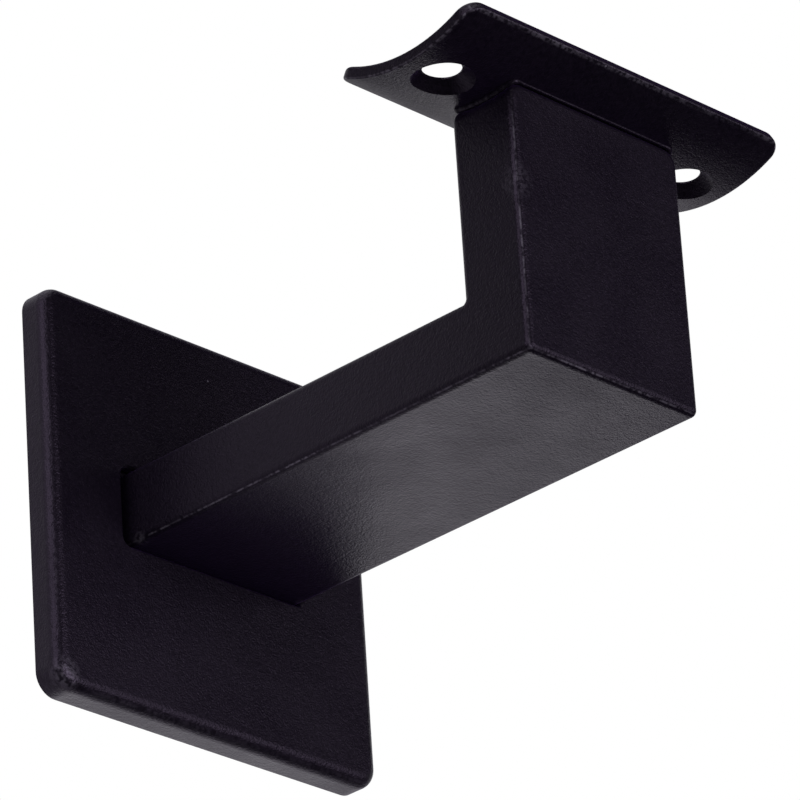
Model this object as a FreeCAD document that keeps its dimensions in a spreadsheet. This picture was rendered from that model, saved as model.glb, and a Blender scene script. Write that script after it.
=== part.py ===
"""Square handrail bracket: an L-shaped flat-bar arm on a hidden wall plate, a curved saddle that
carries a round rail, and a pressed cover that slides along the arm and hides the wall screws.

Frame: X runs along the rail, Y into the wall, Z up.  The origin is the centre of the wall plate's
back face, where the bracket meets the wall, so the arm reaches out along -Y.  Millimetres.
"""
import FreeCAD, Part
import os
import Sketcher

V = FreeCAD.Vector

# The driving sizes.  What fits, seats on or passes through another piece is worked out from these.
SIZES = {
    # pressed cover round the arm's foot
    "cover_side": 65.0,              # square, seen from the front
    "cover_depth": 5.0,              # wall to the front face
    "cover_sheet": 1.5,              # thickness of the pressed sheet
    "cover_corner_radius": 3.5,      # plan corners
    "cover_edge_radius": 2.0,        # rolled edge round the front face
    "opening_edge_chamfer": 0.35,    # broken edge round the opening for the arm
    # hidden plate that the wall screws hold
    "plate_thickness": 3.0,
    "wall_screw_spacing": 40.0,      # square pattern, both ways
    "wall_screw_bore": 5.2,
    "wall_screw_head": 9.6,          # countersink at the plate's front face
    "foot_weld_chamfer": 0.8,        # half of the V round the arm's foot, open at the back
    # flat-bar arm and its upright post
    "arm_width": 35.0,
    "arm_height": 12.0,
    "post_depth": 12.0,
    "arm_edge_radius": 1.1,
    "inner_corner_radius": 0.6,      # inside the bend of the L
    "post_top_radius": 2.6,          # rounding ground for the weld, on the post's two top sides
    # curved saddle under the rail
    "rail_reach": 80.0,              # wall to the rail's centre line
    "rail_radius": 25.0,
    "saddle_height": 36.5,           # arm's centre line to the lowest line of the saddle
    "saddle_sheet": 2.0,
    "saddle_length": 65.5,
    "saddle_width": 25.5,            # straight across the hollow side
    "saddle_corner_radius": 3.0,
    "saddle_hollow_edge": 0.8,       # rounding of the rim that faces the rail
    "saddle_under_edge": 0.4,        # rounding of the rim that faces down
    "rail_screw_spacing": 50.0,
    "rail_screw_bore": 5.8,
    "rail_screw_head": 9.8,          # countersink at the saddle's underside
    # clearances
    "cover_plate_gap": 0.9,          # plate's edge to the inside of the cover's rim
    "cover_side_gap": 0.85,          # cover's opening beside the arm, if the cover were centred
    "cover_rise_gap": 0.45,          # cover's opening above and below the arm
    "cover_hang": 0.65,              # how far the loose cover rests to one side, towards -X
    "plate_slot_gap": 0.1,           # plate's slot round the arm's foot
    # countersinks
    "wall_screw_angle": 90.0,
    "rail_screw_angle": 96.0,
}


def make_sheet(doc):
    """Put every driving size in a spreadsheet cell with an alias of its own."""
    sheet = doc.addObject("Spreadsheet::Sheet", "Sizes")
    for row, (name, value) in enumerate(SIZES.items(), start=1):
        sheet.set("A%d" % row, name)
        sheet.set("B%d" % row, "%g" % value)
        sheet.setAlias("B%d" % row, name)
    doc.recompute()
    return sheet


def make_body(doc, name):
    """A PartDesign body whose label names the piece."""
    body = doc.addObject("PartDesign::Body", name)
    body.Label = name
    body.Placement = FreeCAD.Placement()
    return body


def make_sketch(body, name, plane, offset=None, sideways=None):
    """A sketch on one of the body's own origin planes, moved along its normal or sideways by
    expressions."""
    sketch = body.newObject("Sketcher::SketchObject", name)
    datum = [feature for feature in body.Origin.OriginFeatures if feature.Role == plane][0]
    sketch.AttachmentSupport = [(datum, "")]
    sketch.MapMode = "FlatFace"
    if offset:
        sketch.setExpression("AttachmentOffset.Base.z", offset)
    if sideways:
        sketch.setExpression("AttachmentOffset.Base.x", sideways)
    return sketch


def constrain(sketch, kind, *places):
    """Add a constraint with no size."""
    sketch.addConstraint(Sketcher.Constraint(kind, *places))


def dimension(sketch, name, kind, expression, *places):
    """Add a named dimension and bind it to an expression on the spreadsheet."""
    index = sketch.addConstraint(Sketcher.Constraint(kind, *places))
    sketch.renameConstraint(index, name)
    sketch.setExpression("Constraints." + name, expression)


def line(sketch, start, end):
    """Draw a line between two (x, y) points and return its number."""
    return sketch.addGeometry(Part.LineSegment(V(*start, 0), V(*end, 0)))


def join_ends(sketch, numbers):
    """Tie each element's end to the next one's start, round a closed outline of lines."""
    for here, following in zip(numbers, numbers[1:] + numbers[:1]):
        constrain(sketch, "Coincident", here, 2, following, 1)


def draw_rectangle(sketch, width, height, rough):
    """A rectangle centred on the sketch's origin; width and height are expressions."""
    corners = [(-rough, -rough), (rough, -rough), (rough, rough), (-rough, rough)]
    sides = [line(sketch, a, b) for a, b in zip(corners, corners[1:] + corners[:1])]
    join_ends(sketch, sides)
    for side, kind in zip(sides, ("Horizontal", "Vertical", "Horizontal", "Vertical")):
        constrain(sketch, kind, side)
    constrain(sketch, "Symmetric", sides[0], 1, sides[2], 1, -1, 1)
    dimension(sketch, "width", "DistanceX", width, sides[0], 1, sides[0], 2, 2 * rough)
    dimension(sketch, "height", "DistanceY", height, sides[1], 1, sides[1], 2, 2 * rough)


def draw_circles(sketch, diameter, places):
    """Circles of one size; places are pairs of expressions for each centre."""
    for number, (across, along) in enumerate(places):
        rough = V(10 * (number % 2) + 5, 10 * (number // 2) + 5, 0)
        circle = sketch.addGeometry(Part.Circle(rough, V(0, 0, 1), 2))
        dimension(sketch, "diameter_%d" % number, "Diameter", diameter, circle, 4)
        dimension(sketch, "across_%d" % number, "DistanceX", across, -1, 1, circle, 3, rough.x)
        dimension(sketch, "along_%d" % number, "DistanceY", along, -1, 1, circle, 3, rough.y)


def pad(body, name, sketch, length, midplane=False):
    """Extrude a sketch along its normal, or both ways from it."""
    feature = body.newObject("PartDesign::Pad", name)
    feature.Profile = sketch
    feature.SideType = "Symmetric" if midplane else "One side"
    feature.setExpression("Length", length)
    return feature


def pocket_through(body, name, sketch):
    """Cut a sketch through the whole body, both ways from its plane."""
    feature = body.newObject("PartDesign::Pocket", name)
    feature.Profile = sketch
    feature.SideType = "Symmetric"
    feature.Type = "ThroughAll"
    return feature


def pick_edges(body, wanted):
    """Names of the edges of the body's last feature for which wanted(edge) is true."""
    body.Document.recompute()
    edges = enumerate(body.Tip.Shape.Edges, start=1)
    names = ["Edge%d" % number for number, edge in edges if wanted(edge)]
    if not names:
        raise RuntimeError("no such edges on " + body.Label)
    return names


def fillet(body, name, radius, wanted):
    """Round every edge for which wanted(edge) is true."""
    edges = pick_edges(body, wanted)
    base = body.Tip
    feature = body.newObject("PartDesign::Fillet", name)
    feature.Base = (base, edges)
    feature.setExpression("Radius", radius)
    body.Document.recompute()
    return feature


def chamfer(body, name, width, wanted):
    """Bevel every edge for which wanted(edge) is true."""
    edges = pick_edges(body, wanted)
    base = body.Tip
    feature = body.newObject("PartDesign::Chamfer", name)
    feature.Base = (base, edges)
    feature.setExpression("Size", width)
    body.Document.recompute()
    return feature


def hole(body, name, sketch, screw, upwards=False):
    """Countersunk through holes for a screw at a sketch's circles, widest at the sketch's plane."""
    body.Document.recompute()
    feature = body.newObject("PartDesign::Hole", name)
    feature.Profile = sketch
    feature.Threaded = False
    feature.DepthType = "ThroughAll"
    feature.Reversed = upwards
    feature.HoleCutType = "Countersink"
    feature.HoleCutCustomValues = True
    feature.setExpression("Diameter", "Sizes." + screw + "_bore")
    feature.setExpression("HoleCutDiameter", "Sizes." + screw + "_head")
    feature.setExpression("HoleCutCountersinkAngle", "Sizes." + screw + "_angle")
    return feature


def runs_along(edge, axis):
    """True for a straight edge that lies along a unit vector."""
    if edge.Curve.TypeId != "Part::GeomLine":
        return False
    return abs(abs(edge.tangentAt(edge.FirstParameter).dot(axis)) - 1) < 1e-6


def lies_at(edge, **place):
    """True when the whole edge lies on the plane x=, y= or z= that is given."""
    box = edge.BoundBox
    spans = {"x": (box.XMin, box.XMax), "y": (box.YMin, box.YMax), "z": (box.ZMin, box.ZMax)}
    return all(max(abs(end - value) for end in spans[axis]) < 1e-4 for axis, value in place.items())


def near_arm(edge, size):
    """True for an edge no higher or lower than one arm's height from the arm's centre line."""
    box = edge.BoundBox
    return box.ZMax < size["arm_height"] and box.ZMin > -size["arm_height"]


Y_AXIS = V(0, 1, 0)


def build_cover(doc, size):
    """Pressed square cover: a shallow tray with rolled edges, open at the wall, and an opening
    that follows the arm's section with a sliding gap.  It hangs loose, a little to one side."""
    body = make_body(doc, "cover")
    outline = make_sketch(body, "CoverOutline", "XZ_Plane", sideways="-Sizes.cover_hang")
    draw_rectangle(outline, "Sizes.cover_side", "Sizes.cover_side", 30)
    pad(body, "CoverBlock", outline, "Sizes.cover_depth")
    fillet(body, "CoverCorners", "Sizes.cover_corner_radius", lambda e: runs_along(e, Y_AXIS))
    front = -size["cover_depth"]
    fillet(body, "CoverRolledEdge", "Sizes.cover_edge_radius", lambda e: lies_at(e, y=front))

    shell = body.newObject("PartDesign::Thickness", "CoverShell")
    block = shell.BaseFeature
    faces = enumerate(block.Shape.Faces, start=1)
    back = ["Face%d" % number for number, face in faces if abs(face.CenterOfMass.y) < 1e-6]
    shell.Base = (block, back)
    shell.Mode = 0
    shell.Join = 0
    shell.Reversed = True
    shell.setExpression("Value", "Sizes.cover_sheet")

    opening = make_sketch(body, "ArmOpening", "XZ_Plane", sideways="-Sizes.cover_hang")
    width = "Sizes.arm_width + 2 * Sizes.cover_side_gap"
    height = "Sizes.arm_height + 2 * Sizes.cover_rise_gap"
    draw_rectangle(opening, width, height, 8)
    pocket_through(body, "ArmOpeningCut", opening)
    middle = -size["cover_hang"]
    side = size["arm_width"] / 2 + size["cover_side_gap"]
    fillet(
        body, "ArmOpeningCorners", "Sizes.arm_edge_radius + Sizes.cover_rise_gap",
        lambda e: runs_along(e, Y_AXIS) and abs(abs(e.CenterOfMass.x - middle) - side) < 1e-4,
    )
    chamfer(
        body, "ArmOpeningEdge", "Sizes.opening_edge_chamfer",
        lambda e: lies_at(e, y=front) and near_arm(e, size),
    )
    return body


def build_wall_plate(doc, size):
    """Flat plate inside the cover, with a slot for the arm's foot and four countersunk holes."""
    body = make_body(doc, "wall_plate")
    outline = make_sketch(body, "PlateOutline", "XZ_Plane")
    side = "Sizes.cover_side - 2 * (Sizes.cover_sheet + Sizes.cover_plate_gap)"
    draw_rectangle(outline, side, side, 25)
    pad(body, "PlateBlock", outline, "Sizes.plate_thickness")
    corner = "Sizes.cover_corner_radius - Sizes.cover_sheet - Sizes.cover_plate_gap"
    fillet(body, "PlateCorners", corner, lambda e: runs_along(e, Y_AXIS))

    slot = make_sketch(body, "ArmSlot", "XZ_Plane")
    width = "Sizes.arm_width + 2 * Sizes.plate_slot_gap"
    height = "Sizes.arm_height + 2 * Sizes.plate_slot_gap"
    draw_rectangle(slot, width, height, 8)
    pocket_through(body, "ArmSlotCut", slot)
    slot_side = size["arm_width"] / 2 + size["plate_slot_gap"]
    fillet(
        body, "ArmSlotCorners", "Sizes.arm_edge_radius + Sizes.plate_slot_gap",
        lambda e: runs_along(e, Y_AXIS) and abs(abs(e.CenterOfMass.x) - slot_side) < 1e-4,
    )

    chamfer(
        body, "FootWeldGroove", "Sizes.foot_weld_chamfer",
        lambda e: lies_at(e, y=0) and near_arm(e, size),
    )

    screws = make_sketch(body, "WallScrews", "XZ_Plane", "Sizes.plate_thickness")
    half = "Sizes.wall_screw_spacing / 2"
    places = [(a + half, b + half) for a in ("", "-") for b in ("", "-")]
    draw_circles(screws, "Sizes.wall_screw_bore", places)
    hole(body, "WallScrewHoles", screws, "wall_screw")
    return body


def build_arm(doc, size):
    """L-shaped bar: the arm leaves the wall level, turns up as the post, and its top is hollowed
    to the saddle's underside."""
    body = make_body(doc, "arm")
    profile = make_sketch(body, "ArmProfile", "YZ_Plane")
    tip, rear, top, half = -86, -74, 37, 6
    foot = line(profile, (0, half), (0, -half))
    bottom = line(profile, (0, -half), (tip, -half))
    outer = line(profile, (tip, -half), (tip, top))
    inner = line(profile, (rear, top), (rear, half))
    upper = line(profile, (rear, half), (0, half))
    arc = Part.Arc(V(tip, top, 0), V((tip + rear) / 2, top - 0.5, 0), V(rear, top, 0))
    seat = profile.addGeometry(arc)
    # the seat's arc runs from the post's outer face (start) to its wall-side face (end)
    starts_outside = abs(profile.Geometry[seat].StartPoint.x - tip) < 1e-6
    outer_end, inner_end = (1, 2) if starts_outside else (2, 1)
    for first, a, second, b in (
        (foot, 2, bottom, 1), (bottom, 2, outer, 1), (outer, 2, seat, outer_end),
        (seat, inner_end, inner, 1), (inner, 2, upper, 1), (upper, 2, foot, 1),
    ):
        constrain(profile, "Coincident", first, a, second, b)
    for side, kind in (
        (foot, "Vertical"), (bottom, "Horizontal"), (outer, "Vertical"),
        (inner, "Vertical"), (upper, "Horizontal"),
    ):
        constrain(profile, kind, side)
    constrain(profile, "Symmetric", foot, 1, foot, 2, -1, 1)
    dimension(profile, "height", "DistanceY", "Sizes.arm_height", foot, 2, foot, 1, 12)
    dimension(
        profile, "reach", "DistanceX", "Sizes.rail_reach + Sizes.post_depth / 2",
        bottom, 2, bottom, 1, -tip,
    )
    dimension(
        profile, "clear_length", "DistanceX", "Sizes.rail_reach - Sizes.post_depth / 2",
        upper, 1, upper, 2, -rear,
    )
    dimension(profile, "seat_radius", "Radius", "Sizes.rail_radius + Sizes.saddle_sheet", seat, 27)
    dimension(profile, "rail_centre", "DistanceX", "Sizes.rail_reach", seat, 3, -1, 1, 80)
    dimension(
        profile, "rail_height", "DistanceY",
        "Sizes.saddle_height + Sizes.saddle_sheet + Sizes.rail_radius", -1, 1, seat, 3, 63.5,
    )
    pad(body, "ArmBar", profile, "Sizes.arm_width", midplane=True)

    wall_side = -size["rail_reach"] + size["post_depth"] / 2
    top_face = size["arm_height"] / 2
    fillet(
        body, "InnerCorner", "Sizes.inner_corner_radius",
        lambda e: lies_at(e, y=wall_side, z=top_face),
    )
    fillet(
        body, "PostTopRounding", "Sizes.post_top_radius",
        lambda e: e.BoundBox.XLength < 1e-6 and e.BoundBox.ZMin > size["saddle_height"] - 1e-4,
    )
    fillet(body, "BarEdges", "Sizes.arm_edge_radius", lambda e: is_bar_edge(e, size))
    chamfer(body, "FootWeldPrep", "Sizes.foot_weld_chamfer", lambda e: lies_at(e, y=0))
    return body


def is_bar_edge(edge, size):
    """True for the long outer edges of the bar: down both sides and across the L's outer corner,
    but not round the foot that is let into the wall plate."""
    if edge.BoundBox.YMin > -1e-4:
        return False
    half = size["arm_width"] / 2
    tip = -size["rail_reach"] - size["post_depth"] / 2
    on_side = lies_at(edge, x=half) or lies_at(edge, x=-half)
    across_corner = lies_at(edge, y=tip, z=-size["arm_height"] / 2)
    if on_side:
        # the edges where the side runs smoothly into the rounded post top stay as they are
        return edge.BoundBox.ZLength > 1 or edge.BoundBox.YLength > size["post_depth"] + 1
    return across_corner


def build_saddle(doc, size):
    """Curved plate that cradles the rail, with rounded corners and two countersunk holes."""
    body = make_body(doc, "saddle")
    profile = make_sketch(body, "SaddleProfile", "YZ_Plane")
    centre = V(-80, 63.5, 0)
    arcs = []
    for radius in (25, 27):
        circle = Part.Circle(centre, V(0, 0, 1), radius)
        arcs.append(profile.addGeometry(Part.ArcOfCircle(circle, 4.188, 5.236)))
    hollow, under = arcs
    ends = []
    for point in (1, 2):
        ends.append(line(
            profile,
            tuple(profile.getPoint(hollow, point))[:2],
            tuple(profile.getPoint(under, point))[:2],
        ))
        constrain(profile, "Coincident", ends[-1], 1, hollow, point)
        constrain(profile, "Coincident", ends[-1], 2, under, point)
        constrain(profile, "PointOnObject", hollow, 3, ends[-1])
    constrain(profile, "Coincident", hollow, 3, under, 3)
    dimension(profile, "hollow_radius", "Radius", "Sizes.rail_radius", hollow, 25)
    dimension(profile, "sheet", "Radius", "Sizes.rail_radius + Sizes.saddle_sheet", under, 27)
    dimension(profile, "rail_centre", "DistanceX", "Sizes.rail_reach", hollow, 3, -1, 1, 80)
    dimension(
        profile, "rail_height", "DistanceY",
        "Sizes.saddle_height + Sizes.saddle_sheet + Sizes.rail_radius", -1, 1, hollow, 3, 63.5,
    )
    half = "Sizes.saddle_width / 2"
    dimension(profile, "outer_half", "DistanceX", half, hollow, 1, hollow, 3, 12.5)
    dimension(profile, "wall_half", "DistanceX", half, hollow, 3, hollow, 2, 12.5)
    pad(body, "SaddlePlate", profile, "Sizes.saddle_length", midplane=True)

    # the short edges through the sheet, at the plate's four corners
    fillet(
        body, "SaddleCorners", "Sizes.saddle_corner_radius",
        lambda e: e.BoundBox.XLength < 1e-6 and e.Length < size["saddle_sheet"] + 1e-3,
    )
    hollow_radius = size["rail_radius"]
    under_radius = hollow_radius + size["saddle_sheet"]
    fillet(
        body, "SaddleHollowEdge", "Sizes.saddle_hollow_edge",
        lambda e: is_sheet_rim(e, size, hollow_radius),
    )
    fillet(
        body, "SaddleUnderEdge", "Sizes.saddle_under_edge",
        lambda e: is_sheet_rim(e, size, under_radius),
    )

    screws = make_sketch(body, "RailScrews", "XY_Plane", "Sizes.saddle_height")
    places = [(sign + "Sizes.rail_screw_spacing / 2", "-Sizes.rail_reach") for sign in ("", "-")]
    draw_circles(screws, "Sizes.rail_screw_bore", places)
    hole(body, "RailScrewHoles", screws, "rail_screw", upwards=True)
    return body


def is_sheet_rim(edge, size, radius):
    """True for edges that run round the saddle's rim at one radius from the rail's centre line."""
    centre_y = -size["rail_reach"]
    centre_z = size["saddle_height"] + size["saddle_sheet"] + size["rail_radius"]
    span = edge.LastParameter - edge.FirstParameter
    points = [edge.valueAt(edge.FirstParameter + step * span / 4) for step in range(5)]
    radii = [((p.y - centre_y) ** 2 + (p.z - centre_z) ** 2) ** 0.5 for p in points]
    return max(abs(found - radius) for found in radii) < 1e-3


def check(doc, bodies):
    """Stop if a feature failed or a piece isn't one sound solid."""
    for item in doc.Objects:
        if "Invalid" in item.State or "Error" in item.State:
            raise RuntimeError("%s: %s" % (item.Name, item.State))
    for body in bodies:
        shape = body.Shape
        if shape.isNull() or not shape.isValid() or len(shape.Solids) != 1:
            raise RuntimeError(body.Label + " is not one valid solid")
        box = shape.BoundBox
        print(
            "%-12s %8.1f mm3  X %.2f..%.2f  Y %.2f..%.2f  Z %.2f..%.2f"
            % (body.Label, shape.Volume, box.XMin, box.XMax, box.YMin, box.YMax, box.ZMin, box.ZMax)
        )


def main():
    doc = FreeCAD.newDocument("HandrailBracket")
    sheet = make_sheet(doc)
    size = {name: float(sheet.get(name)) for name in SIZES}
    bodies = [build(doc, size) for build in (build_wall_plate, build_arm, build_saddle, build_cover)]
    doc.recompute()
    check(doc, bodies)
    os.makedirs("parts", exist_ok=True)
    for body in bodies:
        body.Shape.exportStep("parts/%s.step" % body.Label)


main()
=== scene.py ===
# %% [markdown]
# # A square handrail bracket in matt black powder coat
#
# The bracket is a flat steel bar bent up to a curved saddle that carries a round rail.  Its foot is
# welded into a wall plate, and a pressed square cover slides along the bar to hide the screws.
# The solids come from the imported CAD model and stay as they are.  This lesson sets up the camera and
# the studio, gives each solid its coat with a little wear and a few painted highlights, and adds the
# two welds.

import math

import bpy
import numpy as np
from mathutils import Matrix, Vector


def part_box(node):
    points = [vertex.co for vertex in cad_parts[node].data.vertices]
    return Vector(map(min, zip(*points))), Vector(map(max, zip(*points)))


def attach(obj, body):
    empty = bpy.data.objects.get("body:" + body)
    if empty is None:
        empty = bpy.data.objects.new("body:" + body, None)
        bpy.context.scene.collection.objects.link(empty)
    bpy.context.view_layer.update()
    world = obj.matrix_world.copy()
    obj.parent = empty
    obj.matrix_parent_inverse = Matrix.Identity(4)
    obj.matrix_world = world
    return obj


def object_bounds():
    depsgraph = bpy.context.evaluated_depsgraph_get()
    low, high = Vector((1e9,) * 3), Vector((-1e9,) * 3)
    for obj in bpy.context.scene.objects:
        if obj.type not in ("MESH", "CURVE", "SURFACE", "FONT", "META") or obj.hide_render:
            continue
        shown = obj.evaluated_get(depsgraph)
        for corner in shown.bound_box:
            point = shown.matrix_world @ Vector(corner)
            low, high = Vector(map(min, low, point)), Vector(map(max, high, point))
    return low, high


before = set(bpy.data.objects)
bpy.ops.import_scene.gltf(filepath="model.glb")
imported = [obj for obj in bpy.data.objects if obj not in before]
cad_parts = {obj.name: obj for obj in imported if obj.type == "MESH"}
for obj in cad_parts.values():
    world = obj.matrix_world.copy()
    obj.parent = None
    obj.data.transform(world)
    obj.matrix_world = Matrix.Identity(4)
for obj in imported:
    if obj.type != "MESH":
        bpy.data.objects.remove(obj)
cad_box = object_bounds()
print("nodes:", sorted(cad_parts))
print("CAD box in mm:", [[round(v * 1000, 2) for v in corner] for corner in cad_box])

# %% [markdown]
# ## Sizes that the new pieces need
#
# Everything in Blender is in metres.  It is easier to think in millimetres, so one constant turns
# them.  The measures are read from the boxes of the CAD nodes, so that a weld follows the bar and
# the saddle if their sizes change.  Only the curve of the saddle isn't in a box, and is written down.

# %% Measure the bracket
MM = 0.001
arm_low, arm_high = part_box("arm")
saddle_low, saddle_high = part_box("saddle")
plate_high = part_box("wall_plate")[1]
cover_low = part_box("cover")[0]

arm_half_width = arm_high.x
arm_half_height = -arm_low.z
post_front = arm_low.y
rail_line = (saddle_low.y + saddle_high.y) / 2
post_half_depth = rail_line - post_front
# the saddle's hollow has a radius of 25 mm, and its sheet is 2 mm thick
saddle_under_radius = (25 + 2) * MM
rail_centre_height = saddle_low.z + saddle_under_radius
print("post half depth %.2f mm, rail line at y %.2f mm" % (post_half_depth / MM, rail_line / MM))

# %% [markdown]
# ## Colours and nodes
#
# Colours are written as hex values, the way a paint card gives them.  Blender's shaders work in
# linear light, so one function turns a hex value into linear numbers.  A second small function adds
# a node, sets its properties, and either fills or links its inputs.

# %% Colours


def linear(hex_colour):
    """Linear RGBA of an sRGB hex colour: each channel c becomes c / 12.92 up to 0.04045, and
    ((c + 0.055) / 1.055) to the power 2.4 above it."""
    channels = [int(hex_colour[i:i + 2], 16) / 255 for i in (1, 3, 5)]
    return tuple(c / 12.92 if c <= 0.04045 else ((c + 0.055) / 1.055) ** 2.4 for c in channels) + (1,)


print("#808080 is", round(linear("#808080")[0], 3), "in linear light")

# %% Nodes


def add_node(tree, kind, inputs, **settings):
    """Add a node of one kind.  inputs maps a socket's name or number to a value, to the output socket
    that feeds it, or to a node whose first output feeds it; settings are the node's own properties."""
    node = tree.nodes.new(kind)
    node.location = (200 * (len(tree.nodes) % 8), -260 * (len(tree.nodes) // 8))
    for name, value in settings.items():
        setattr(node, name, value)
    for socket, value in inputs.items():
        if isinstance(value, bpy.types.Node):
            value = value.outputs[0]
        if isinstance(value, bpy.types.NodeSocket):
            tree.links.new(value, node.inputs[socket])
        else:
            node.inputs[socket].default_value = value
    return node


def empty_material(name):
    """A new material with only an output node; returns the material, its tree and the output."""
    material = bpy.data.materials.new(name)
    material.use_nodes = True
    tree = material.node_tree
    tree.nodes.clear()
    return material, tree, add_node(tree, "ShaderNodeOutputMaterial", {})


print(len(bpy.data.materials), "materials came with the frame")

# %% [markdown]
# ## The camera
#
# The bracket is seen from below, in front and to the left, from about a metre away, through a long
# lens that keeps its edges nearly parallel.  The camera leans a little, so its three turns are
# given one by one: the heading, the tilt upwards and the roll.

# %% Place the camera
# the heading turns forward from +Y towards +X, the tilt raises it, and the roll turns right and up
# about it
HEADING, TILT, ROLL = math.radians(46.835), math.radians(26.163), math.radians(-3.769)
SENSOR_WIDTH, FOCAL_LENGTH = 36, 297.0
CAMERA_PLACE = Vector((-628.71, -633.84, -415.82)) * MM

forward = Vector((
    math.sin(HEADING) * math.cos(TILT), math.cos(HEADING) * math.cos(TILT), math.sin(TILT)
))
level_right = Vector((math.cos(HEADING), -math.sin(HEADING), 0))
level_up = level_right.cross(forward)
right = math.cos(ROLL) * level_right + math.sin(ROLL) * level_up
up = math.cos(ROLL) * level_up - math.sin(ROLL) * level_right

camera_data = bpy.data.cameras.new("camera")
camera_data.sensor_width = SENSOR_WIDTH
camera_data.lens = FOCAL_LENGTH
camera_data.clip_start, camera_data.clip_end = 0.05, 20
camera = bpy.data.objects.new("camera", camera_data)
bpy.context.scene.collection.objects.link(camera)
place = Matrix((right, up, -forward)).transposed().to_4x4()
place.translation = CAMERA_PLACE
camera.matrix_world = place
bpy.context.scene.camera = camera
print("camera is %.0f mm from the bracket" % (camera.location.length / MM))

# %% [markdown]
# ## The floor
#
# A product is shown on a plain pale floor.  A plane from the Add menu would do, but the flags below
# need a curved surface too, so one function makes a staged surface of either kind from a grid of
# points.  The floor is far below, because the camera looks up from under the bracket.

# %% The floor
FLOOR_HEIGHT, FLOOR_HALF = -2.0, 6.0


def stage_surface(name, grid, material):
    """A staged surface from a grid of points (rows, columns, 3): each face joins four neighbours."""
    rows, columns = grid.shape[:2]
    here = np.arange(rows * columns).reshape(rows, columns)
    faces = np.stack([here[:-1, :-1], here[:-1, 1:], here[1:, 1:], here[1:, :-1]], -1).reshape(-1, 4)
    mesh = bpy.data.meshes.new(name)
    mesh.from_pydata(grid.reshape(-1, 3).tolist(), [], faces.tolist())
    mesh.materials.append(material)
    surface = bpy.data.objects.new(name, mesh)
    bpy.context.scene.collection.objects.link(surface)
    print(name, "has", len(mesh.polygons), "faces")
    return surface


# matt floor paint, rolled on: it has no shine that could show in the coat
floor_material, tree, output = empty_material("studio_floor_paint")
paint = add_node(tree, "ShaderNodeBsdfDiffuse", {"Color": linear("#EFEFEF")})
tree.links.new(paint.outputs[0], output.inputs["Surface"])
across, along = np.meshgrid([-FLOOR_HALF, FLOOR_HALF], [-FLOOR_HALF, FLOOR_HALF])
floor = np.stack([across, along, np.full((2, 2), FLOOR_HEIGHT)], -1)
stage_surface("studio_floor", floor, floor_material)

# %% [markdown]
# ## The white room
#
# The bracket hangs in a white room, whose even light fills every shadow a little.  A studio could be
# built from walls, but a world of one colour gives the same light and renders much faster.  The
# camera sees the room as pure white, and so does whatever mirrors it or is looked through.  What the
# room lights gets half of that, and the panels below add the rest, so that a colour shows about as
# bright as it is written.

# %% The white room
ROOM_SEEN, ROOM_LIGHT = 1.0, 0.5

world = bpy.data.worlds.new("white_room")
world.use_nodes = True
world.cycles.sampling_method = "NONE"
bpy.context.scene.world = world
tree = world.node_tree
tree.nodes.clear()
rays = add_node(tree, "ShaderNodeLightPath", {})
seen = add_node(tree, "ShaderNodeMath", {
    0: rays.outputs["Is Camera Ray"], 1: rays.outputs["Is Transmission Ray"],
}, operation="MAXIMUM")
seen = add_node(tree, "ShaderNodeMath", {
    0: seen, 1: rays.outputs["Is Glossy Ray"],
}, operation="MAXIMUM")
lit = add_node(tree, "ShaderNodeBackground", {"Color": linear("#FFFFFF"), "Strength": ROOM_LIGHT})
white = add_node(tree, "ShaderNodeBackground", {"Color": linear("#FFFFFF"), "Strength": ROOM_SEEN})
room = add_node(tree, "ShaderNodeMixShader", {0: seen, 1: lit, 2: white})
add_node(tree, "ShaderNodeOutputWorld", {"Surface": room})
bpy.context.scene.view_settings.view_transform = "Standard"
print("the room shows at strength %.1f and lights at %.1f" % (ROOM_SEEN, ROOM_LIGHT))

# %% [markdown]
# ## Black flags
#
# A black object shows little colour of its own: what the eye reads is what its surface mirrors.  A
# white room alone would wash the black coat grey, because even a dull black mirrors it.  In a real
# studio, black flags stand round a black product.  They could be placed one by one, but a dome is
# simpler and looks the same from every side.  Only gloss sees it, so the room's light on the bracket
# and the white behind it stay.

# %% Black flags round the bracket
FLAG_RADIUS, FLAG_LIFT = 2.2, 0.03
FLAG_COLUMNS, FLAG_ROWS = 32, 16

# heavy black cloth, which gives back no light at all
flag_cloth, tree, output = empty_material("black_flag_cloth")
cloth = add_node(tree, "ShaderNodeBsdfDiffuse", {"Color": linear("#000000")})
tree.links.new(cloth.outputs[0], output.inputs["Surface"])
# a sphere's points, sin and cos of two angles times the radius, cut flat just above the floor
turn, tilt = np.meshgrid(
    np.linspace(0, 2 * np.pi, FLAG_COLUMNS + 1), np.linspace(0, np.pi, FLAG_ROWS + 1)
)
dome = FLAG_RADIUS * np.stack(
    [np.sin(tilt) * np.cos(turn), np.sin(tilt) * np.sin(turn), np.cos(tilt)], -1
)
dome[..., 2] = np.maximum(dome[..., 2], FLOOR_HEIGHT + FLAG_LIFT)
flags = stage_surface("black_flags", dome, flag_cloth)
flags.visible_camera = flags.visible_diffuse = flags.visible_transmission = False
flags.visible_shadow = flags.visible_volume_scatter = False

# %% [markdown]
# ## Soft panels
#
# Inside the flags, soft panels are placed where the coat should shine.  A flat face mirrors one
# direction, so each panel is meant for one or two faces of the bracket.  Spot lamps would leave hard
# points of light, while large area lamps near by give the long soft gradients of a product picture.

# %% Soft panels


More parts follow.
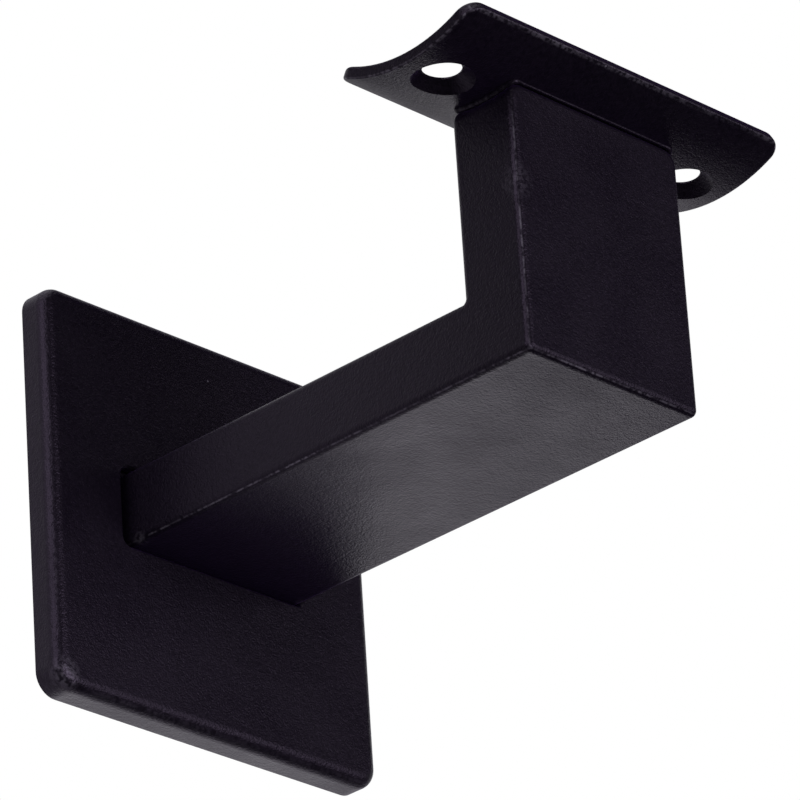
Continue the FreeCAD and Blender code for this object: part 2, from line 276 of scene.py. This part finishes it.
def soft_panel(name, towards, distance, width, height, radiance):
    """An area lamp that looks at the middle of the bracket.  towards is the direction in which it
    stands, distance how far off.  Its power is radiance x pi x area, so a radiance of 1 is as bright
    as white paper in full light."""
    lamp = bpy.data.lights.new(name, "AREA")
    lamp.shape = "RECTANGLE"
    lamp.size, lamp.size_y = width, height
    lamp.energy = radiance * math.pi * width * height
    panel = bpy.data.objects.new(name, lamp)
    bpy.context.scene.collection.objects.link(panel)
    direction = Vector(towards).normalized()
    panel.location = direction * distance + Vector((0, (cad_box[0][1] + cad_box[1][1]) / 2, 0))
    panel.rotation_euler = direction.to_track_quat("Z", "Y").to_euler()
    print("%-18s %.1f W" % (name, lamp.energy))
    return panel


# name, direction, distance, width, height and radiance; lengths are in metres
soft_panel("panel_front", (0.0, -0.99, -0.05), 1.5, 0.7, 0.8, 5.0)
soft_panel("panel_front_right", (0.45, -0.88, -0.05), 1.5, 0.8, 0.8, 2.0)
soft_panel("panel_front_low", (0.30, -0.85, -0.30), 1.2, 0.3, 0.3, 2.7)
soft_panel("panel_left_high", (-0.89, -0.20, 0.42), 1.5, 1.0, 1.0, 2.3)
soft_panel("panel_back_low", (0.60, 0.70, -0.38), 1.3, 0.8, 0.8, 0.95)
soft_panel("panel_top", (-0.15, 0.0, 0.99), 1.5, 1.2, 1.2, 1.0)
soft_panel("panel_right", (0.95, 0.10, 0.25), 1.5, 0.9, 0.9, 0.6)
soft_panel("panel_back_high", (0.25, 0.85, 0.50), 1.5, 0.9, 0.9, 0.3)

# two small panels close behind the wall plate stand for the bright table such a piece lies on; they
# are 1 mm apart, because a ray that meets one of two lamps in the same plane misses the other
for name, side, behind, radiance in (
    ("table_glow_near", 0.14, 3 * MM, 0.12),
    ("table_glow_wide", 0.22, 4 * MM, 0.38),
):
    glow = soft_panel(name, (0, 1, 0), 0.05, side, side, radiance)
    glow.location = (0, behind, 0)

# %% [markdown]
# ## Where the coat is worn, and where it is painted with highlights
#
# Edges and rims rub first.  The same pale grey also stands for light: lower edges, the saddle's rim
# and a few rounded corners get a painted highlight, and one pale patch sits on the post's edge.  Wear
# could be painted by hand on an image, but a mask worked out from the shape fits every piece, at any
# size.  An edge is found from the face normal: on a flat face it points along one axis, on a rounded
# edge between two.

# %% Worn edges with painted highlight
# an edge starts to turn pale, with wear and painted highlight, where the largest part of the normal
# drops below the first of these, and is fully pale below the second
EDGE_START, EDGE_FULL = 0.82, 0.74


def apart(tree, value, origin):
    """A node that gives |x|, |y| and |z| of a vector less origin."""
    value = add_node(tree, "ShaderNodeVectorMath", {0: value, 1: origin}, operation="SUBTRACT")
    value = add_node(tree, "ShaderNodeVectorMath", {0: value}, operation="ABSOLUTE")
    return add_node(tree, "ShaderNodeSeparateXYZ", {0: value})


def worn_and_highlit_edges(tree, coords, away, edge_from):
    """1 where the normal leans away from all three axes, so that the largest of its |x|, |y| and |z|
    is small, and 0 on flat faces.  It counts where |x| of the place is above edge_from."""
    lean = apart(tree, coords.outputs["Normal"], (0.0, 0.0, 0.0))
    largest = add_node(tree, "ShaderNodeMath", {
        0: lean.outputs[0], 1: lean.outputs[1],
    }, operation="MAXIMUM")
    largest = add_node(tree, "ShaderNodeMath", {0: largest, 1: lean.outputs[2]}, operation="MAXIMUM")
    edge = add_node(tree, "ShaderNodeMapRange", {
        "Value": largest, "From Min": EDGE_START, "From Max": EDGE_FULL,
    })
    side = add_node(tree, "ShaderNodeMath", {
        0: away.outputs[0], 1: edge_from,
    }, operation="GREATER_THAN")
    return add_node(tree, "ShaderNodeMath", {0: edge, 1: side}, operation="MULTIPLY")


print("edges wear where they lean %.0f degrees from every axis" % math.degrees(math.acos(EDGE_START)))

# %% Worn rims and pale spots, partly painted highlights
# a rim starts to turn pale, with wear and painted highlight, this far from the outline, and is as
# pale as it gets at the second
RIM_START, RIM_FULL, RIM_SHARE = 0.65 * MM, 0.35 * MM, 0.45
# the z of the normal below which a face looks down, and above which it looks up
LOOKS_DOWN, LOOKS_UP = -0.30, 0.35


# the saddle's pale rim is wear and a painted highlight along its lower edges
def worn_and_highlit_rim(tree, distance, facing, half):
    """Grows from 0 to RIM_SHARE where distance comes close to half, on faces that look down."""
    close = add_node(tree, "ShaderNodeMapRange", {
        "Value": distance, "From Min": half - RIM_START, "From Max": half - RIM_FULL,
        "To Max": RIM_SHARE,
    })
    below = add_node(tree, "ShaderNodeMath", {0: facing, 1: LOOKS_DOWN}, operation="LESS_THAN")
    return add_node(tree, "ShaderNodeMath", {0: close, 1: below}, operation="MULTIPLY")


# a pale spot on a rounded corner is a painted highlight
def pale_spot_mask(tree, coords, spot, reach, share):
    """Grows from 0 at the distance reach from a spot to share at the spot."""
    gap = add_node(tree, "ShaderNodeVectorMath", {
        0: coords.outputs["Object"], 1: spot,
    }, operation="DISTANCE")
    return add_node(tree, "ShaderNodeMapRange", {
        "Value": gap.outputs["Value"], "From Min": reach, "From Max": 0.0, "To Max": share,
    })


print("a rim wears over its last %.2f mm" % (RIM_START / MM))

# %% [markdown]
# Real wear is never an even band.  A slow noise leaves some stretches of an edge almost new, and a
# fine noise breaks all of it into specks.  Edges that look up stay black, so that the grey, partly a
# painted highlight, lies only on edges that look down and to the sides.

# %% All wear and painted highlight in one mask


def wear_and_highlight_mask(tree, coords, bumps, cloud, wear, edge_from, rim, pale_spots):
    """How pale the coat is, from 0 to 1, partly wear and partly painted highlight: the largest of
    edges, rims and spots, where the edges and rims are times wear and a slow noise, and all is times a
    fine noise.  rim holds the halves of the outline in x and y, measured from the rail's line."""
    away = apart(tree, coords.outputs["Object"], (0.0, rail_line, 0.0))
    facing = add_node(tree, "ShaderNodeSeparateXYZ", {0: coords.outputs["Normal"]}).outputs[2]
    edge = worn_and_highlit_edges(tree, coords, away, edge_from)
    for axis, half in enumerate(rim):
        close = worn_and_highlit_rim(tree, away.outputs[axis], facing, half)
        edge = add_node(tree, "ShaderNodeMath", {0: edge, 1: close}, operation="MAXIMUM")
    # edges that look up stay black; the grey on the others is partly a painted highlight
    not_looking_up = add_node(tree, "ShaderNodeMath", {0: facing, 1: LOOKS_UP}, operation="LESS_THAN")
    edge = add_node(tree, "ShaderNodeMath", {0: edge, 1: not_looking_up}, operation="MULTIPLY")
    slow = add_node(tree, "ShaderNodeMapRange", {
        "Value": cloud, "From Min": 0.35, "From Max": 0.65, "To Min": 0.2 * wear, "To Max": wear,
    })
    wear_and_highlight_share = add_node(tree, "ShaderNodeMath", {0: edge, 1: slow}, operation="MULTIPLY")
    for spot, reach, share in pale_spots:
        spot_grey = pale_spot_mask(tree, coords, spot, reach, share)
        wear_and_highlight_share = add_node(tree, "ShaderNodeMath", {0: wear_and_highlight_share, 1: spot_grey}, operation="MAXIMUM")
    speck = add_node(tree, "ShaderNodeMapRange", {
        "Value": bumps, "From Min": 0.40, "From Max": 0.60, "To Min": 0.1,
    })
    return add_node(tree, "ShaderNodeMath", {0: wear_and_highlight_share, 1: speck}, operation="MULTIPLY")


# %% [markdown]
# ## Matt black powder coat
#
# Every steel piece has the same finish: a black polyester powder, sprayed on dry and baked until it
# flows together.  A fine-texture powder never flows quite flat.  Close up there are three sizes of
# unevenness: grains of a tenth to a quarter of a millimetre, bumps of two thirds of a millimetre, and
# the long waves called orange peel.  They break the shine into a soft, sparkling grey.  They could be
# modelled, but the light only needs their slopes, so a bump map is enough.  The black is faintly
# violet, and so are its shine and its sheen.  A few specks of dust lie on it.

# %% Grains, bumps and waves
# how wide the unevenness is and how high; the finest real grains, 0.1 mm wide, would be too fine to
# show, so the grain is drawn at 0.28 mm
GRAIN, BUMP, PEEL = 0.28 * MM, 0.70 * MM, 3.5 * MM
GRAIN_HEIGHT, BUMP_HEIGHT, PEEL_HEIGHT = 0.07 * MM, 0.05 * MM, 0.03 * MM


def coat_slopes(tree, place):
    """The bent normal of the coat, and the noise of its bumps.  A noise's scale is 1 / its size, and
    each bump bends the normal that the one before has bent: waves, then bumps, then grains."""
    grain = add_node(tree, "ShaderNodeTexNoise", {"Vector": place, "Scale": 1 / GRAIN, "Detail": 1.0})
    bumps = add_node(tree, "ShaderNodeTexNoise", {"Vector": place, "Scale": 1 / BUMP, "Detail": 1.0})
    peel = add_node(tree, "ShaderNodeTexNoise", {"Vector": place, "Scale": 1 / PEEL, "Detail": 1.0})
    normal = None
    for noise, height in ((peel, PEEL_HEIGHT), (bumps, BUMP_HEIGHT), (grain, GRAIN_HEIGHT)):
        slopes = {"Height": noise, "Strength": 1.0, "Distance": height}
        if normal is not None:
            slopes["Normal"] = normal
        normal = add_node(tree, "ShaderNodeBump", slopes)
    return normal, bumps


print("grains rise to %.2f of their width" % (GRAIN_HEIGHT / GRAIN))

# %% Dust
# a speck of dust is grey up to the first distance from its middle and gone at the second, and there
# is one middle in each cube whose sides are the third
DUST_CORE, DUST_EDGE, DUST_SPACING = 0.10 * MM, 0.24 * MM, 10 * MM


def dust_specks(tree, place):
    """1 in the middle of each speck and 0 between them: the distance to the nearest of a few points
    scattered evenly through space, one to a cube, mapped from the speck's edge to its core."""
    points = add_node(tree, "ShaderNodeTexVoronoi", {"Vector": place, "Scale": 1 / DUST_SPACING})
    return add_node(tree, "ShaderNodeMapRange", {
        "Value": points.outputs["Distance"],
        "From Min": DUST_EDGE / DUST_SPACING, "From Max": DUST_CORE / DUST_SPACING,
    })


area_per_speck = DUST_SPACING ** 3 / (2 * DUST_EDGE)
print("the surface meets one speck in %.0f square centimetres" % (area_per_speck * 10000))

# %% Powder coat
# cloudy patches, in which the coat is a little smoother or duller, and the roughness of the worn
# places and painted highlights
CLOUD, ROUGHNESS_SPREAD, WEAR_AND_HIGHLIGHT_ROUGHNESS = 12 * MM, 0.05, 0.30
# low and high places of the coat, and the grey that it turns where it is worn or dusty, which also
# stands for the painted highlights on edges, rims and corners
BLACK, BLACK_HIGH, WEAR_DUST_HIGHLIGHT_GREY = "#07050A", "#0F0B13", "#5A5560"
# the shine is faint and violet, and so is the sheen of the fine texture
SHINE_TINT, SHEEN_TINT = (0.82, 0.63, 1.0, 1.0), (0.45, 0.16, 1.0, 1.0)


def powder_coat(name, roughness, seed, wear, edge_from=0.0, rim=(), pale_spots=()):
    """Powder coat on steel.  Its colour goes from black to a higher black with the bumps, and to grey
    where it is worn or dusty and where edges, rims and corners get a painted highlight.  Its roughness
    goes up and down by ROUGHNESS_SPREAD with a slow noise, and to WEAR_AND_HIGHLIGHT_ROUGHNESS in the
    worn and highlit places.  seed moves the pattern by so many metres along x."""
    material, tree, output = empty_material(name)
    coords = add_node(tree, "ShaderNodeTexCoord", {})
    place = add_node(tree, "ShaderNodeMapping", {
        "Vector": coords.outputs["Object"], "Location": (seed, 0.0, 0.0),
    })
    normal, bumps = coat_slopes(tree, place)
    cloud = add_node(tree, "ShaderNodeTexNoise", {"Vector": place, "Scale": 1 / CLOUD, "Detail": 3.0})
    wear_and_highlight_share = wear_and_highlight_mask(tree, coords, bumps, cloud, wear, edge_from, rim, pale_spots)
    dust_wear_and_highlight = add_node(tree, "ShaderNodeMath", {
        0: wear_and_highlight_share, 1: dust_specks(tree, place),
    }, operation="MAXIMUM")
    dull = add_node(tree, "ShaderNodeMapRange", {
        "Value": cloud, "From Min": 0.3, "From Max": 0.7,
        "To Min": roughness - ROUGHNESS_SPREAD, "To Max": roughness + ROUGHNESS_SPREAD,
    })
    shine = add_node(tree, "ShaderNodeMix", {0: wear_and_highlight_share, 2: dull, 3: WEAR_AND_HIGHLIGHT_ROUGHNESS})
    tone = add_node(tree, "ShaderNodeMapRange", {"Value": bumps, "From Min": 0.3, "From Max": 0.7})
    black = add_node(tree, "ShaderNodeMix", {
        0: tone, 6: linear(BLACK), 7: linear(BLACK_HIGH),
    }, data_type="RGBA")
    # the grey is wear and dust, and on edges, rims and corners also a painted highlight
    colour = add_node(tree, "ShaderNodeMix", {
        0: dust_wear_and_highlight, 6: black.outputs[2], 7: linear(WEAR_DUST_HIGHLIGHT_GREY),
    }, data_type="RGBA")
    coat = add_node(tree, "ShaderNodeBsdfPrincipled", {
        "Base Color": colour.outputs[2], "Roughness": shine, "IOR": 1.5, "Normal": normal,
        "Specular IOR Level": 0.31, "Specular Tint": SHINE_TINT,
        "Sheen Weight": 0.05, "Sheen Roughness": 0.4, "Sheen Tint": SHEEN_TINT,
    })
    tree.links.new(coat.outputs[0], output.inputs["Surface"])
    print(name, "has", len(tree.nodes), "nodes")
    return material


# %% [markdown]
# ## The coat on each piece
#
# All four pieces could share one material.  They get one each, so that the hidden plate stays as it
# was sprayed, the saddle turns pale round its rim with wear and a painted highlight, the arm's edges
# wear and catch a painted highlight, and the arm and the cover get pale spots: painted highlights on
# rounded corners and one pale patch on the post.  The cover comes from another batch and is a little
# smoother.

# %% Pale spots on each piece
# each pale spot is a place, how far it reaches, and its share of the grey; the two at the arm's
# foot and the one at the cover's lower corner are painted highlights on rounded corners, and the one
# on the post's front edge is a pale patch
arm_pale_spots = (
    (Vector((arm_low.x, post_front, 21 * MM)), 3.5 * MM, 0.25),
    (Vector((arm_low.x + 0.5 * MM, cover_low.y - 1.5 * MM, arm_low.z + 0.2 * MM)), 1.6 * MM, 0.35),
    (Vector((arm_high.x - 0.5 * MM, cover_low.y - 0.8 * MM, arm_low.z)), 1.4 * MM, 0.5),
)
cover_highlight_spots = ((Vector((cover_low.x + 1.5 * MM, cover_low.y, cover_low.z + 2.0 * MM)), 3.0 * MM, 0.6),)
saddle_halves = (saddle_high.x, (saddle_high.y - saddle_low.y) / 2)
# only the saddle's two ends have worn edges with a painted highlight: the last 1.25 mm
saddle_end_from = saddle_high.x - 1.25 * MM
print("%d rubbed spots on the arm, %d on the cover" % (len(arm_pale_spots), len(cover_highlight_spots)))

# %% Coat the four pieces
arm_coat = powder_coat("powder_coat_matt_black_arm", 0.40, 0.0, 0.75, pale_spots=arm_pale_spots)
plate_coat = powder_coat("powder_coat_matt_black_plate", 0.40, 0.0, 0.0)
saddle_coat = powder_coat(
    "powder_coat_matt_black_saddle", 0.40, 0.17, 0.9, edge_from=saddle_end_from, rim=saddle_halves,
)
cover_coat = powder_coat("powder_coat_matt_black_cover", 0.38, 0.31, 0.10, pale_spots=cover_highlight_spots)
for name, coat in (
    ("arm", arm_coat), ("wall_plate", plate_coat), ("saddle", saddle_coat), ("cover", cover_coat),
):
    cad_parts[name].data.materials.clear()
    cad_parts[name].data.materials.append(coat)
    print(name, "wears", coat.name)

# %% [markdown]
# ## Tools for a weld bead
#
# A weld bead is a small round ridge that follows a joint and closes on itself.  A sculptor could
# drag it along by hand, and a curve with a round bevel would give an even pipe.  Here it is worked
# out as a surface instead: a ring carried along a closed path, so that its width can swell and
# ripple as a real bead does.

# %% A closed rounded path
CORNER_POINTS = 25


def rounded_path(half_x, half_y, radius, count):
    """Points evenly spaced round a rectangle with rounded corners, and the directions that point
    outwards there.  Each corner is a quarter circle about (half - radius); the straight sides join
    them; arc length is measured along that chain and count equal steps are read from it."""
    turn = np.linspace(0, np.pi / 2, CORNER_POINTS)
    starts = np.arange(4)[:, None] * np.pi / 2
    angles = (starts + turn).ravel()
    centre_x = np.repeat([1, -1, -1, 1], CORNER_POINTS) * (half_x - radius)
    centre_y = np.repeat([1, 1, -1, -1], CORNER_POINTS) * (half_y - radius)
    chain = np.stack([centre_x + radius * np.cos(angles), centre_y + radius * np.sin(angles)], 1)
    chain = np.vstack([chain, chain[:1]])
    angles = np.append(angles, 2 * np.pi)
    length = np.append(0, np.cumsum(np.linalg.norm(np.diff(chain, axis=0), axis=1)))
    steps = np.arange(count) * length[-1] / count
    points = np.stack([np.interp(steps, length, chain[:, axis]) for axis in (0, 1)], 1)
    heading = np.interp(steps, length, angles)
    return points, np.stack([np.cos(heading), np.sin(heading)], 1), steps


square_steps = rounded_path(5 * MM, 5 * MM, 1 * MM, 100)[2]
square_length = square_steps[-1] + square_steps[1]
print("a square of 10 mm with corners of 1 mm is %.1f mm round" % (square_length / MM))

# %% The ripples of a bead


def ripple(steps, pitch, seed):
    """Uneven waves between -1 and 1 along a closed path: four cosines with random starts, whose
    heights add up to 1.  Each fits a whole number of times round the path, near 0.31, 0.67, 1 and
    1.53 times length / pitch."""
    random = np.random.default_rng(seed)
    length = steps[-1] + steps[1]
    waves = np.round(length / pitch * np.array([0.31, 0.67, 1.0, 1.53]))
    starts = random.uniform(0, 2 * np.pi, 4)
    share = np.array([0.2, 0.2, 0.4, 0.2])
    return (share * np.cos(2 * np.pi * waves * steps[:, None] / length + starts)).sum(1)


# %% A mesh that closes both ways


def closed_grid(name, points, material, body):
    """A mesh from a grid of points (rows, columns, 3) that closes on itself both ways.  Each face
    joins a point to the next along its row and the two beside them in the following row."""
    rows, columns = points.shape[:2]
    here = np.arange(rows * columns).reshape(rows, columns)
    across, along = np.roll(here, -1, axis=1), np.roll(here, -1, axis=0)
    both = np.roll(along, -1, axis=1)
    faces = np.stack([here, along, both, across], -1).reshape(-1, 4)
    mesh = bpy.data.meshes.new(name)
    mesh.from_pydata(points.reshape(-1, 3).tolist(), [], faces.tolist())
    mesh.shade_smooth()
    mesh.materials.append(material)
    piece = bpy.data.objects.new(name, mesh)
    bpy.context.scene.collection.objects.link(piece)
    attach(piece, body)
    print(name, "has", len(mesh.polygons), "faces")
    return piece


# %% [markdown]
# ## The weld under the saddle
#
# The saddle is welded to the top of the post all the way round, then the joint is dressed and
# coated.  What is left is a low, slightly uneven bead, thin along the sides and a little thicker at
# the post's two rounded ends.  It could be drawn into the coat as a dark line, but a real ridge
# catches the light from every side.  The bead wears the saddle's coat.

# %% Lay the bead under the saddle
PATH_POINTS, RING_POINTS = 420, 20
BEAD_SIDE, BEAD_END = 0.22 * MM, 0.62 * MM
# how far the middle of the bead lies inside the post's ends and sides, and the path's corner radius
END_INSET, SIDE_INSET, BEAD_CORNER = 0.95 * MM, 0.12 * MM, 1.0 * MM
# its middle lies a quarter of its radius below the saddle, and its width changes by a twelfth
BEAD_DROP, BEAD_RIPPLE, BEAD_PITCH = 0.25, 0.08, 1.6 * MM

half_path = arm_half_width - END_INSET
path, outwards, steps = rounded_path(half_path, post_half_depth - SIDE_INSET, BEAD_CORNER, PATH_POINTS)
# close to 0 along the sides and 1 at the ends: the share of the half length, to the power 24
at_end = np.clip(np.abs(path[:, 0]) / half_path, 0, 1) ** 24
bead_radius = BEAD_SIDE + (BEAD_END - BEAD_SIDE) * at_end
bead_radius = bead_radius * (1 + BEAD_RIPPLE * ripple(steps, BEAD_PITCH, seed=3))
print("bead radius from %.2f to %.2f mm" % (bead_radius.min() / MM, bead_radius.max() / MM))
# the saddle's underside at each point: the cylinder's centre less the root of radius^2 - y^2
under_saddle = rail_centre_height - np.sqrt(saddle_under_radius ** 2 - path[:, 1] ** 2)
turn = np.linspace(0, 2 * np.pi, RING_POINTS, endpoint=False)
out = bead_radius[:, None] * np.cos(turn)
rise = bead_radius[:, None] * np.sin(turn)
bead = np.empty((PATH_POINTS, RING_POINTS, 3))
bead[..., :2] = path[:, None] + outwards[:, None] * out[..., None]
bead[..., 1] += rail_line
bead[..., 2] = (under_saddle - BEAD_DROP * bead_radius)[:, None] + rise
closed_grid("saddle_weld", bead, saddle_coat, "bracket")

# %% [markdown]
# ## The weld behind the wall plate
#
# The arm's foot is let into the wall plate and welded in a V from behind, where the bead can't
# stand proud, because that face sits flat on the wall.  It could be cut flat with a boolean, but it
# is simpler to stop each ring just inside the plate's back face, as a grinder would leave it.

# %% Lay the bead in the V round the arm's foot
FOOT_RADIUS, FOOT_DEPTH, FLUSH = 0.74 * MM, 0.80 * MM, 0.02 * MM
# the middle of the bead lies just outside the bar and follows its corners
FOOT_OUTSET, FOOT_CORNER = 0.05 * MM, 1.15 * MM
FOOT_RIPPLE, FOOT_PITCH = 0.06, 1.5 * MM

path, outwards, steps = rounded_path(
    arm_half_width + FOOT_OUTSET, arm_half_height + FOOT_OUTSET, FOOT_CORNER, PATH_POINTS
)
foot_radius = FOOT_RADIUS * (1 + FOOT_RIPPLE * ripple(steps, FOOT_PITCH, seed=5))
print("bead radius from %.2f to %.2f mm" % (foot_radius.min() / MM, foot_radius.max() / MM))
out = foot_radius[:, None] * np.cos(turn)
depth = foot_radius[:, None] * np.sin(turn)
bead = np.empty((PATH_POINTS, RING_POINTS, 3))
bead[..., (0, 2)] = path[:, None] + outwards[:, None] * out[..., None]
bead[..., 1] = np.minimum(plate_high.y - FOOT_DEPTH - depth, plate_high.y - FLUSH)
closed_grid("foot_weld", bead, plate_coat, "bracket")
